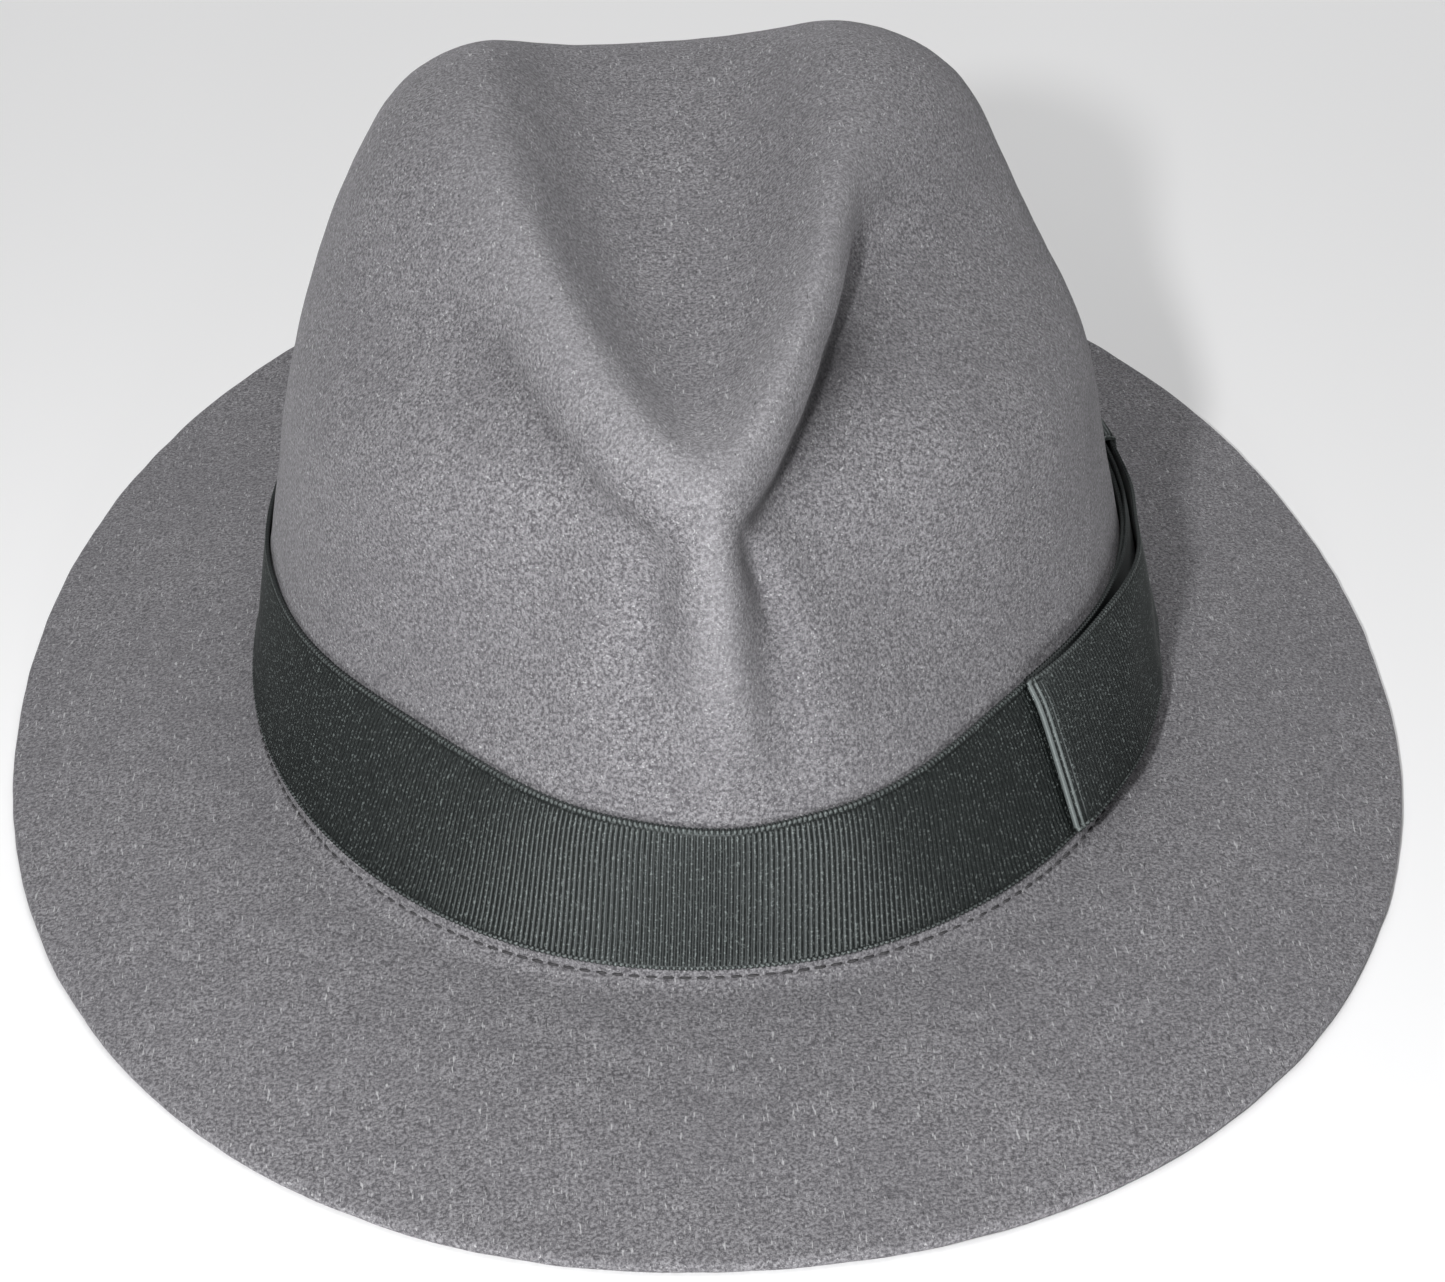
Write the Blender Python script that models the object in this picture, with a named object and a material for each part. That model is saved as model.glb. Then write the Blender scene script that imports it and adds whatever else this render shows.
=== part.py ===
"""A fedora: blocked felt body with a creased and pinched crown, grosgrain band with a side bow,
leather sweatband and satin lining.

Metres, +Z up. The wearer faces -Y, so +X is the wearer's left. The brim rests on z = 0.
"""

import math

import bpy
import numpy as np

# ---------------------------------------------------------------- driving dimensions
FELT = 0.0020                      # thickness of the felt
CLEARANCE = 0.0003                 # gap kept between pieces that touch

BRIM_HALF_WIDTH = 0.1285
BRIM_HALF_LENGTH = 0.1650
BRIM_SQUARENESS = 2.15
BACK_RIM_RISE = 0.0100             # how far the brim turns up at the back

HEAD_HALF_WIDTH = 0.0835           # outside of the felt where crown and brim meet
HEAD_HALF_LENGTH = 0.1050
HEAD_SQUARENESS = 2.15
BREAK_HEIGHT = 0.0068
BREAK_SIDE_RISE = 0.0018
BREAK_BACK_FALL = 0.0012

BAND_TOP = 0.0350
BAND_TOP_HALF_WIDTH = 0.0790
BAND_TOP_FRONT = 0.1030
BAND_TOP_BACK = 0.1000
TEMPLE_DENT = 0.0075               # how far the pinches still press in at the band's top edge
TEMPLE_TURN = 0.75
TEMPLE_WIDTH = 0.42

CREST_HEIGHT = 0.1232              # the ridge around the top dent
CREST_HALF_WIDTH = 0.0395
CREST_HALF_LENGTH = 0.0660
CREST_CENTRE_Y = -0.0210
CREST_SHIFT_X = -0.0030
CREST_TAPER = 0.56                 # 0 is an oval ridge, 1 is pointed in front
CREST_BACK_SQUARENESS = 0.35
FORK_DROP = 0.0300                 # how much lower the ridge is in front
FORK_POWER = 1.7
BACK_DIP = 0.0160
BACK_DIP_POWER = 7.0
SHOULDER_OUT = (0.0335, 0.0270)    # from the ridge out to the crown's side, at the sides and at the back
SHOULDER_DOWN = 0.0225
DENT_FLOOR = (0.0865, 0.1085)      # height of the dent's floor in front and at the back

# Beside the ridge three rings go down: (out, down) of each in the stem's middle, and in the front
# pinches of the wearer's right (-X), which is soft, and left (+X), which is a sharp fold.
STEM_FALL = ((0.0040, 0.0045), (0.0052, 0.0080), (0.0060, 0.0100))
RIGHT_FALL = ((0.0056, 0.0034), (0.0080, 0.0092), (0.0066, 0.0128))
LEFT_FALL = ((0.0030, 0.0040), (0.0022, 0.0105), (-0.0010, 0.0145))
SHOULDER_FALL = ((0.36, 0.02), (0.76, 0.30), (1.0, 1.0))    # the same where the shoulder is full, in shares
CHEEK_TURNS = ((1.10, 1.95), (1.44, 2.10))
WALL_TURNS = ((0.40, 1.70), (0.34, 1.75))
CREASE_TURNS = ((0.95, 1.75), (1.05, 1.75))
CREASE = (0.85, 1.0)               # how sharply the cheek is folded against the ridge
CHEEK_LIP = 0.0050                 # how far the cheek stands out beside that fold
LIP_RISE = 0.15                    # and how far up it is drawn, as a share of the wall
GROOVE_DEPTH = (0.0052, 0.0062)    # how far the pinches run on down beside the stem
GROOVE_WIDTH = (0.15, 0.10)
GROOVE_SPREAD = (1.80, 1.35)
STEM_HALF_TURN = 0.33
STEM_CORE = 0.10                   # half of the stem that the pinches leave alone
PRESS = (0.0050, 0.0035)           # how far the sides are pressed flat in front
PRESS_TURN = 0.62
PRESS_WIDTH = 0.38

RIBBON = 0.0006                    # thickness of the grosgrain
LINING = 0.0004
LEATHER = 0.0009
KNOT_TURN = 1.80                   # where the bow's knot sits, round from the front
KNOT_HALF_TURN = 0.085
FRONT_FOLD_TURNS = (0.765, 0.80)   # fold of the front loop, at its lower and upper edge
REAR_FOLD_TURNS = (2.28, 2.40)
LOOP_PUFF = 0.0010                 # how far a loop stands open

COLUMNS = 76
FRONT_CROWDING = 0.55              # 0 spaces the columns evenly, 1 crowds them all in front


# ---------------------------------------------------------------- helpers for curves
def smooth(start, end, value):
    t = np.clip((value - start) / (end - start), 0.0, 1.0)
    return t * t * (3.0 - 2.0 * t)


def by_side(turn, pair):
    """The first value on the wearer's right, the second on the wearer's left."""
    return np.where(turn < 0, pair[0], pair[1])


def rise_by_side(turn, ranges):
    return np.where(turn < 0, smooth(*ranges[0], np.abs(turn)), smooth(*ranges[1], np.abs(turn)))


def outward(turn):
    return np.stack([np.sin(turn), -np.cos(turn), np.zeros_like(turn)], -1)


def oval(turn, half_width, half_length, power=2.0):
    """x and y of a superellipse; turn 0 is the front, pi / 2 the wearer's left."""
    s, c = np.sin(turn), np.cos(turn)
    k = (np.abs(s) ** power + np.abs(c) ** power) ** (-1.0 / power)
    return half_width * k * s, -half_length * k * c


def columns(count=COLUMNS):
    """Turns all round the hat, closer together in front, where the pinches are."""
    even = np.linspace(-math.pi, math.pi, count, endpoint=False)
    return even - FRONT_CROWDING * np.sin(even)


# ---------------------------------------------------------------- the hat's surface, as rings
def break_height(turn):
    return BREAK_HEIGHT + BREAK_SIDE_RISE * np.sin(turn) ** 2 - BREAK_BACK_FALL * (1 - np.cos(turn)) / 2


def brim_ring(turn, out):
    """A ring of the brim: out is 0 at the crown and 1 at the edge."""
    xb, yb = oval(turn, HEAD_HALF_WIDTH, HEAD_HALF_LENGTH, HEAD_SQUARENESS)
    xr, yr = oval(turn, BRIM_HALF_WIDTH, BRIM_HALF_LENGTH, BRIM_SQUARENESS)
    low = FELT + BACK_RIM_RISE * smooth(1.75, math.pi, np.abs(turn))
    high = break_height(turn)
    fall = out ** (1.35 + 1.2 * smooth(1.7, 3.0, np.abs(turn)))
    return np.stack([xb + (xr - xb) * out, yb + (yr - yb) * out, high + (low - high) * fall], -1)


def band_top_ring(turn):
    x, front = oval(turn, BAND_TOP_HALF_WIDTH, BAND_TOP_FRONT)
    back = oval(turn, BAND_TOP_HALF_WIDTH, BAND_TOP_BACK)[1]
    dent = TEMPLE_DENT * np.exp(-(((np.abs(turn) - TEMPLE_TURN) / TEMPLE_WIDTH) ** 2))
    ring = np.stack([x, np.minimum(front, 0) + np.maximum(back, 0), np.full_like(turn, BAND_TOP)], -1)
    return ring - outward(turn) * dent[..., None]


def foot_ring(turn, height, out=0.0):
    """A ring of the wall behind the band, this high over the break."""
    x, y = oval(turn, HEAD_HALF_WIDTH, HEAD_HALF_LENGTH, HEAD_SQUARENESS)
    base = np.stack([x, y, break_height(turn)], -1)
    share = height / (BAND_TOP - break_height(turn))
    return base + (band_top_ring(turn) - base) * share[..., None] + outward(turn) * out


def crest_ring(turn, lift=0.0):
    """The ridge around the top dent: a teardrop whose point is low in front."""
    front = ((1 + np.cos(turn)) / 2) ** FORK_POWER
    back = ((1 - np.cos(turn)) / 2) ** BACK_DIP_POWER
    taper = 1.0 - CREST_TAPER * np.cos(turn / 2) ** 2
    power = 1.0 - CREST_BACK_SQUARENESS * smooth(1.2, 2.6, np.abs(turn))
    side = np.sign(turn) * np.abs(np.sin(turn)) ** power
    x = CREST_HALF_WIDTH * side * taper + CREST_SHIFT_X * (1 - 0.4 * front)
    y = CREST_CENTRE_Y - CREST_HALF_LENGTH * np.cos(turn)
    z = CREST_HEIGHT + lift - FORK_DROP * front - BACK_DIP * back
    return np.stack([x, y, z], -1)


def stem(turn, half_turn=STEM_HALF_TURN):
    return np.exp(-((turn / half_turn) ** 2))


def beside_crest(turn, out, down):
    ring = crest_ring(turn) + outward(turn) * out[..., None]
    ring[..., 2] -= down
    return ring


def crease(turn):
    """How sharply the crown is folded beside the ridge, from 0 to 1."""
    fade = 1 - rise_by_side(turn, CREASE_TURNS)
    return by_side(turn, CREASE) * smooth(0.20, 0.50, np.abs(turn)) * fade


def beside_ridge(turn, ring, turns=CHEEK_TURNS):
    """One of the three rings beside the ridge: 0 is next to it and 2 is the shoulder."""
    fall = np.where(turn[..., None] < 0, RIGHT_FALL[ring], LEFT_FALL[ring])
    fall = fall + (np.array(STEM_FALL[ring]) - fall) * stem(turn)[..., None]
    wide = SHOULDER_OUT[0] + (SHOULDER_OUT[1] - SHOULDER_OUT[0]) * smooth(1.9, 3.0, np.abs(turn))
    wide = SHOULDER_FALL[ring][0] * wide - CREST_SHIFT_X * np.sin(turn)
    deep = np.full_like(turn, SHOULDER_FALL[ring][1] * SHOULDER_DOWN)
    fall = fall + (np.stack([wide, deep], -1) - fall) * rise_by_side(turn, turns)[..., None]
    return beside_crest(turn, fall[..., 0], fall[..., 1])


def groove(turn, place):
    """The pinch running on down beside the stem, this far round from the front."""
    away = np.abs(turn) - place * by_side(turn, GROOVE_SPREAD)
    return by_side(turn, GROOVE_DEPTH) * np.exp(-((away / by_side(turn, GROOVE_WIDTH)) ** 2))


def wall_ring(turn, up, swell, lip, dig, place):
    """A ring of the wall: up is 0 at the band's top edge and 1 at the shoulder."""
    low, high = band_top_ring(turn), beside_ridge(turn, 2, WALL_TURNS)
    cheek, fold = rise_by_side(turn, WALL_TURNS), crease(turn)
    up = up + LIP_RISE * lip * fold
    press = by_side(turn, PRESS) * np.exp(-(((np.abs(turn) - PRESS_TURN) / PRESS_WIDTH) ** 2))
    sink = dig * (groove(turn, place) + press) * (1 - stem(turn, STEM_CORE))
    out = swell * cheek + CHEEK_LIP * lip * fold - sink
    return low + (high - low) * up[..., None] + outward(turn) * out[..., None]


def dent_ring(turn, scale, sink):
    """A ring inside the top dent: scale shrinks the ridge, sink lowers it to the floor."""
    crest = crest_ring(turn)
    x = (crest[..., 0] - CREST_SHIFT_X) * scale + CREST_SHIFT_X
    y = (crest[..., 1] - CREST_CENTRE_Y) * scale + CREST_CENTRE_Y
    along = (y - CREST_CENTRE_Y + CREST_HALF_LENGTH) / (2 * CREST_HALF_LENGTH)
    floor = DENT_FLOOR[0] + (DENT_FLOOR[1] - DENT_FLOOR[0]) * along
    return np.stack([x, y, crest[..., 2] + (floor - crest[..., 2]) * sink], -1)


def control_rings(turn):
    """Every ring from the brim's edge, up the wall, over the ridge and into the dent."""
    turn = np.remainder(turn + math.pi, 2 * math.pi) - math.pi
    rings = [brim_ring(turn, out) for out in (1.18, 1.0, 0.82, 0.62, 0.40, 0.22, 0.10)]
    rings += [foot_ring(turn, 0.0, 0.0015)]
    rings += [foot_ring(turn, height) for height in (0.0035, 0.0110, 0.0200)]
    rings += [band_top_ring(turn)]
    rings += [wall_ring(turn, 0.25, 0.0015, 0.0, 0.4, 0.10), wall_ring(turn, 0.50, 0.0030, 0.4, 0.8, 0.12)]
    rings += [wall_ring(turn, 0.75, 0.0030, 1.0, 1.0, 0.18)]
    rings += [beside_ridge(turn, 2), beside_ridge(turn, 1), beside_ridge(turn, 0)]
    rings += [crest_ring(turn, 0.0020)]
    rings += [dent_ring(turn, 0.78, 0.22), dent_ring(turn, 0.56, 0.66), dent_ring(turn, 0.36, 0.94)]
    rings += [dent_ring(turn, scale, 1.0) for scale in (0.18, 0.0, -0.18)]
    return np.array(rings)


RING_SPANS = 22                    # spans of the spline over the rings above


def surface(turn, row):
    """Points of the felt's outside: a uniform cubic B-spline over the rings. The arrays broadcast."""
    turn, row = np.broadcast_arrays(np.asarray(turn, float), np.asarray(row, float))
    rings = control_rings(turn)
    first = np.clip(np.floor(row).astype(int), 0, RING_SPANS - 1)
    t = (row - first)[..., None]
    weights = ((1 - t) ** 3, 3 * t**3 - 6 * t**2 + 4, -3 * t**3 + 3 * t**2 + 3 * t + 1, t**3)
    at = np.indices(row.shape)
    return sum(w * rings[(first + k, *at)] for k, w in enumerate(weights)) / 6


def skin(turn, row, offset):
    """Points this far outside the felt's outer surface, along its normal."""
    step = 1e-3
    turn, row = np.broadcast_arrays(np.asarray(turn, float), np.asarray(row, float))
    inner_row = np.minimum(row, RING_SPANS - 0.05)
    across = surface(turn + step, inner_row) - surface(turn - step, inner_row)
    up = surface(turn, inner_row + step) - surface(turn, inner_row - step)
    normal = np.cross(across, up)
    normal /= np.linalg.norm(normal, axis=-1, keepdims=True)
    pole = row > inner_row
    if pole.any():
        level = normal[pole].mean(axis=0)
        normal = np.where(pole[..., None], level / np.linalg.norm(level), normal)
    return surface(turn, row) + normal * np.asarray(offset)[..., None]


# ---------------------------------------------------------------- building objects
def material(name, colour, roughness):
    made = bpy.data.materials.new(name)
    made.use_nodes = True
    shader = made.node_tree.nodes["Principled BSDF"]
    shader.inputs["Base Color"].default_value = (*colour, 1.0)
    shader.inputs["Roughness"].default_value = roughness
    shader.inputs["Metallic"].default_value = 0.0
    return made


def add_object(name, points, faces, look):
    mesh = bpy.data.meshes.new(name)
    mesh.from_pydata([tuple(p) for p in points], [], faces)
    mesh.validate()
    mesh.shade_smooth()
    mesh.set_sharp_from_angle(angle=math.radians(40))
    mesh.materials.append(look)
    made = bpy.data.objects.new(name, mesh)
    bpy.context.scene.collection.objects.link(made)
    return made


def quads(first, second, third, fourth):
    """Each quad as two triangles, all with the same diagonal."""
    corners = zip(first, second, third, fourth)
    return [tri for a, b, c, d in corners for tri in ((a, b, c), (a, c, d))]


def sheet(name, outer, inner, look, around=False, pole=False):
    """A closed solid between two grids of points, rows by columns.

    around joins the last column to the first. pole closes the last row into one point.
    """
    rows, count = outer.shape[:2]
    if pole:
        outer, inner = (np.concatenate([g[:-1].reshape(-1, 3), g[-1, :1]]) for g in (outer, inner))
        rows -= 1
    points = np.concatenate([outer.reshape(-1, 3), inner.reshape(-1, 3)])
    half = len(points) // 2
    last = count if around else count - 1
    index = np.arange(rows * count).reshape(rows, count)
    left, right = index[:, :last], np.roll(index, -1, 1)[:, :last]

    low_left, low_right = left[:-1].ravel(), right[:-1].ravel()
    high_left, high_right = left[1:].ravel(), right[1:].ravel()
    faces = quads(low_left, low_right, high_right, high_left)
    faces += quads(low_left + half, high_left + half, high_right + half, low_right + half)
    faces += quads(left[0] + half, right[0] + half, right[0], left[0])
    if pole:
        top = half - 1
        faces += [(a, b, top) for a, b in zip(left[-1], right[-1])]
        faces += [(b + half, a + half, top + half) for a, b in zip(left[-1], right[-1])]
    else:
        faces += quads(left[-1], right[-1], right[-1] + half, left[-1] + half)
    if not around:
        start, end = index[:, 0], index[:, -1]
        faces += quads(start[:-1], start[1:], start[1:] + half, start[:-1] + half)
        faces += quads(end[:-1] + half, end[1:] + half, end[1:], end[:-1])
    faces = [tuple(int(i) for i in face) for face in faces]
    return add_object(name, points, faces, look)


def ring_tube(name, path, radius, look, sides=6):
    """A closed round cord along a closed path."""
    ahead = np.roll(path, -1, 0) - np.roll(path, 1, 0)
    ahead /= np.linalg.norm(ahead, axis=1, keepdims=True)
    across = np.cross(ahead, (0, 0, 1))
    across /= np.linalg.norm(across, axis=1, keepdims=True)
    up = np.cross(across, ahead)
    count = len(path)
    angles = 2 * math.pi * np.arange(sides) / sides
    rings = [path + radius * (math.cos(a) * across + math.sin(a) * up) for a in angles]
    points = np.concatenate(rings)
    index = np.arange(count * sides).reshape(sides, count)
    near, far = np.roll(index, -1, 0), np.roll(index, -1, 1)
    both = np.roll(far, -1, 0)
    faces = quads(index.ravel(), far.ravel(), both.ravel(), near.ravel())
    return add_object(name, points, [tuple(int(i) for i in face) for face in faces], look)


# ---------------------------------------------------------------- the pieces
FELT_ROWS = np.array([0, 1, 2, 3, 4, 5, 6, 6.5, *range(7, RING_SPANS + 1)])


def add_felt_body(look):
    turn = columns()[None, :]
    row = FELT_ROWS[:, None]
    return sheet("felt_body", skin(turn, row, 0.0), skin(turn, row, -FELT), look, True, True)


BAND_ROWS = np.array([6.80, 7, 8, 9, 10])
BAND_OUT = CLEARANCE + RIBBON
BUTT_GAP_TURN = 0.006              # the band's two ends meet under the knot


def add_hat_band(look):
    turn = columns()
    turn = np.where(turn < KNOT_TURN, turn, turn - 2 * math.pi)
    ends = [KNOT_TURN - 2 * math.pi + BUTT_GAP_TURN, KNOT_TURN - BUTT_GAP_TURN]
    turn = np.sort(np.append(turn, ends))[None, :]
    row = BAND_ROWS[:, None]
    return sheet("hat_band", skin(turn, row, BAND_OUT), skin(turn, row, CLEARANCE), look)


LOOP_OUT = BAND_OUT + 0.0006        # the loops lie on the band


def loop_path(knot_out):
    """The loop's outside and inside, from the knot along the band, round the fold and back.

    Each point is a share of the way to the fold, and a distance outside the felt.
    """
    low = LOOP_OUT
    run = np.linspace(0.0, 0.94, 11)
    puff = LOOP_PUFF * np.sin(math.pi * np.clip((run - 0.2) / 0.8, 0, 1)) + knot_out
    fold = 2 * RIBBON
    outside = [(s, low) for s in run] + [(0.985, low + 0.2 * fold), (1.0, low + 0.9 * fold)]
    outside += [(0.985, low + 1.8 * fold)] + [(s, low + 2 * RIBBON + p) for s, p in zip(run, puff)][::-1]
    inside = [(s, low + RIBBON) for s in run] + [(0.950, low + RIBBON), (0.960, low + 0.9 * fold)]
    inside += [(0.950, low + 1.35 * fold)] + [(s, low + RIBBON + p) for s, p in zip(run, puff)][::-1]
    return np.array(outside), np.array(inside)


LOOP_ROWS = np.array([6.9, 7, 8, 9, 10.05])
LOOP_OPEN_AT_KNOT = 0.0005


def add_loop(name, fold_turns, knot_side, look):
    """One loop of the bow, flat against the band, with its fold away from the knot."""
    share = (LOOP_ROWS - LOOP_ROWS[0]) / (LOOP_ROWS[-1] - LOOP_ROWS[0])
    fold = fold_turns[0] + (fold_turns[1] - fold_turns[0]) * share
    grids = []
    for path in loop_path(LOOP_OPEN_AT_KNOT):
        turn = knot_side + (fold[:, None] - knot_side) * path[None, :, 0]
        grids.append(skin(turn, LOOP_ROWS[:, None], np.broadcast_to(path[None, :, 1], turn.shape)))
    outer, inner = grids
    if fold_turns[0] > knot_side:
        outer, inner = outer[:, ::-1], inner[:, ::-1]
    return sheet(name, outer, inner, look)


def add_bow_knot(look):
    """The short piece of ribbon wrapped over the middle of the bow."""
    low = LOOP_OUT
    high = low + 2 * RIBBON + LOOP_OPEN_AT_KNOT + CLEARANCE
    middle, top = 0.5 * (low + high), high + RIBBON
    outside = [(6.68, low), (6.62, middle), (6.70, top), (7.5, top), (8.3, top), (9.2, top)]
    outside += [(10.13, top), (10.16, middle), (10.14, low)]
    inside = [(6.84, low), (6.84, middle), (6.86, high), (7.5, high), (8.3, high), (9.2, high)]
    inside += [(10.08, high), (10.09, middle), (10.09, low)]
    turn = np.linspace(KNOT_TURN - KNOT_HALF_TURN, KNOT_TURN + KNOT_HALF_TURN, 5)[None, :]
    paths = (np.array(outside), np.array(inside))
    outer, inner = (skin(turn, p[:, :1], np.broadcast_to(p[:, 1:], (len(p), 5))) for p in paths)
    return sheet("bow_knot", outer, inner, look)


LINING_OUT = -(FELT + 0.0007)       # the satin hangs just clear of the felt
SWEAT_OUT = LINING_OUT - LINING - CLEARANCE
SWEAT_ROWS = np.array([6.9, 7, 8, 9, 10, 11])
SWEAT_FALL = 0.0048                # the leather runs on straight down past the break
SWEAT_END_TURN = 0.003             # half the gap of the seam at the back


def inside_strip(turn, offset):
    grid = skin(turn, SWEAT_ROWS[:, None], offset)
    wall = grid[0] - grid[2]
    wall /= np.linalg.norm(wall, axis=-1, keepdims=True)
    low = grid[0] + wall * SWEAT_FALL
    return np.concatenate([low[None], grid])


def add_sweatband(look):
    turn = columns()
    ends = [-math.pi + SWEAT_END_TURN, math.pi - SWEAT_END_TURN]
    turn = np.sort(np.append(turn[1:], ends))[None, :]
    outer, inner = inside_strip(turn, SWEAT_OUT), inside_strip(turn, SWEAT_OUT - LEATHER)
    return sheet("sweatband", outer, inner, look)


PIPING_RADIUS = 0.0011


def add_sweatband_piping(look):
    edge = inside_strip(columns()[None, :], SWEAT_OUT - LEATHER / 2)[0]
    path = edge - np.array([0, 0, PIPING_RADIUS + CLEARANCE])
    return ring_tube("sweatband_piping", path, PIPING_RADIUS, look)


THREAD_RADIUS = 0.00025
STITCH_ROW = 6.38


def add_sweatband_stitching(look):
    path = skin(columns(), np.full(COLUMNS, STITCH_ROW), CLEARANCE + THREAD_RADIUS)
    return ring_tube("sweatband_stitching", path, THREAD_RADIUS, look, 5)


def add_sweatband_bow(look):
    """The small flat bow of ribbon that covers the sweatband's seam."""
    across = np.linspace(-1, 1, 9)
    half_height = 0.16 + 0.30 * np.abs(across) ** 0.8
    row = 8.4 + np.array([-1, 0, 1])[:, None] * half_height[None, :]
    turn = np.broadcast_to(math.pi + 0.085 * across[None, :], row.shape)
    near = SWEAT_OUT - LEATHER - 3 * CLEARANCE
    outer = skin(turn, row, near)
    inner = skin(turn, row, near - RIBBON)
    return sheet("sweatband_bow", outer, inner, look)


LINING_SIDE_ROWS = np.array([9.4, 10, 11, 12, 13, 14, 15])
LINING_TIP_ROWS = np.array([15.1, *range(16, RING_SPANS + 1)])


def add_lining_side(look):
    turn, row = columns()[None, :], LINING_SIDE_ROWS[:, None]
    outer, inner = skin(turn, row, LINING_OUT), skin(turn, row, LINING_OUT - LINING)
    return sheet("lining_side", outer, inner, look, True)


def add_lining_tip(look):
    turn, row = columns()[None, :], LINING_TIP_ROWS[:, None]
    outer, inner = skin(turn, row, LINING_OUT), skin(turn, row, LINING_OUT - LINING)
    return sheet("lining_tip", outer, inner, look, True, True)


def main():
    for old in list(bpy.data.objects):
        bpy.data.objects.remove(old)

    felt = material("grey_fur_felt", (0.145, 0.142, 0.150), 0.95)
    ribbon = material("black_grosgrain", (0.020, 0.024, 0.023), 0.60)
    leather = material("tan_leather", (0.250, 0.130, 0.065), 0.50)
    piping = material("piping_tape", (0.050, 0.045, 0.045), 0.75)
    satin = material("grey_satin", (0.220, 0.215, 0.225), 0.35)
    thread = material("dark_thread", (0.040, 0.040, 0.042), 0.70)

    add_felt_body(felt)
    add_hat_band(ribbon)
    add_loop("bow_front_loop", FRONT_FOLD_TURNS, KNOT_TURN - 0.012, ribbon)
    add_loop("bow_rear_loop", REAR_FOLD_TURNS, KNOT_TURN + 0.012, ribbon)
    add_bow_knot(ribbon)
    add_sweatband(leather)
    add_sweatband_piping(piping)
    add_sweatband_stitching(thread)
    add_sweatband_bow(ribbon)
    add_lining_side(satin)
    add_lining_tip(satin)


main()
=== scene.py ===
"""The looks of a grey fedora: fur felt, black grosgrain band and bow, leather sweatband, satin lining.

Metres, +Z up. The wearer faces -Y, so +X is the wearer's left. The brim rests on z = 0.
A place on the hat is (turn, row): turn runs round it from the front, row from the brim's edge (0)
over the break (6), the band's top edge (10) and the ridge (17) into the middle of the dent (22).
"""

import math

import bpy
import numpy as np
from mathutils import Matrix, Vector


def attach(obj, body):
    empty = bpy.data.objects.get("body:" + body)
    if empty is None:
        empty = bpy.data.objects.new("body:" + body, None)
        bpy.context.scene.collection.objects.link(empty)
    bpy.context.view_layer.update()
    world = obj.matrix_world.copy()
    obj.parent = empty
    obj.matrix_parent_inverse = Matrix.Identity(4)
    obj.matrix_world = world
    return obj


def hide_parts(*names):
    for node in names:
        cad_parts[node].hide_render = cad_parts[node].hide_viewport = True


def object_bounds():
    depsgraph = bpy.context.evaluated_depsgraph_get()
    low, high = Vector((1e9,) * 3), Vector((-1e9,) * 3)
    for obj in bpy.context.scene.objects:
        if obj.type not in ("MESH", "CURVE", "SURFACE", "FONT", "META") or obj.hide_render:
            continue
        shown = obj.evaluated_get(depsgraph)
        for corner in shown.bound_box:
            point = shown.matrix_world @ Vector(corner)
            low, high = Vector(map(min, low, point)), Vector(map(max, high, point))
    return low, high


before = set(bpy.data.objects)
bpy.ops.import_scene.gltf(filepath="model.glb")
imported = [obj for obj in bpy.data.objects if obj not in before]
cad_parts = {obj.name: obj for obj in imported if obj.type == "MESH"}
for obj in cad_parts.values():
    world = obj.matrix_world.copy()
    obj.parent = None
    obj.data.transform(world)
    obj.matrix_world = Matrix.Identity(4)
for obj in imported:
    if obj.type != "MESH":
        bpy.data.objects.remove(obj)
CAD_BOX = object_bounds()

# ---------------------------------------------------------------- driving dimensions
FELT = 0.0020                      # thickness of the felt
CLEARANCE = 0.0003                 # gap kept between pieces that touch

BRIM_HALF_WIDTH = 0.1285
BRIM_HALF_LENGTH = 0.1650
BRIM_SQUARENESS = 2.15
BACK_RIM_RISE = 0.0100             # how far the brim turns up at the back

HEAD_HALF_WIDTH = 0.0835           # outside of the felt where crown and brim meet
HEAD_HALF_LENGTH = 0.1050
HEAD_SQUARENESS = 2.15
BREAK_HEIGHT = 0.0068
BREAK_SIDE_RISE = 0.0018
BREAK_BACK_FALL = 0.0012

BAND_TOP = 0.0350
BAND_TOP_HALF_WIDTH = 0.0790
BAND_TOP_FRONT = 0.1030
BAND_TOP_BACK = 0.1000
TEMPLE_DENT = 0.0075               # how far the pinches still press in at the band's top edge
TEMPLE_TURN = 0.75
TEMPLE_WIDTH = 0.42

CREST_HEIGHT = 0.1232              # the ridge around the top dent
CREST_HALF_WIDTH = 0.0395
CREST_HALF_LENGTH = 0.0660
CREST_CENTRE_Y = -0.0210
CREST_SHIFT_X = -0.0030
CREST_TAPER = 0.56                 # 0 is an oval ridge, 1 is pointed in front
CREST_BACK_SQUARENESS = 0.35
FORK_DROP = 0.0300                 # how much lower the ridge is in front
FORK_POWER = 1.7
BACK_DIP = 0.0160
BACK_DIP_POWER = 7.0
SHOULDER_OUT = (0.0335, 0.0270)    # from the ridge out to the crown's side, at the sides and at the back
SHOULDER_DOWN = 0.0225
DENT_FLOOR = (0.0865, 0.1085)      # height of the dent's floor in front and at the back

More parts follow.
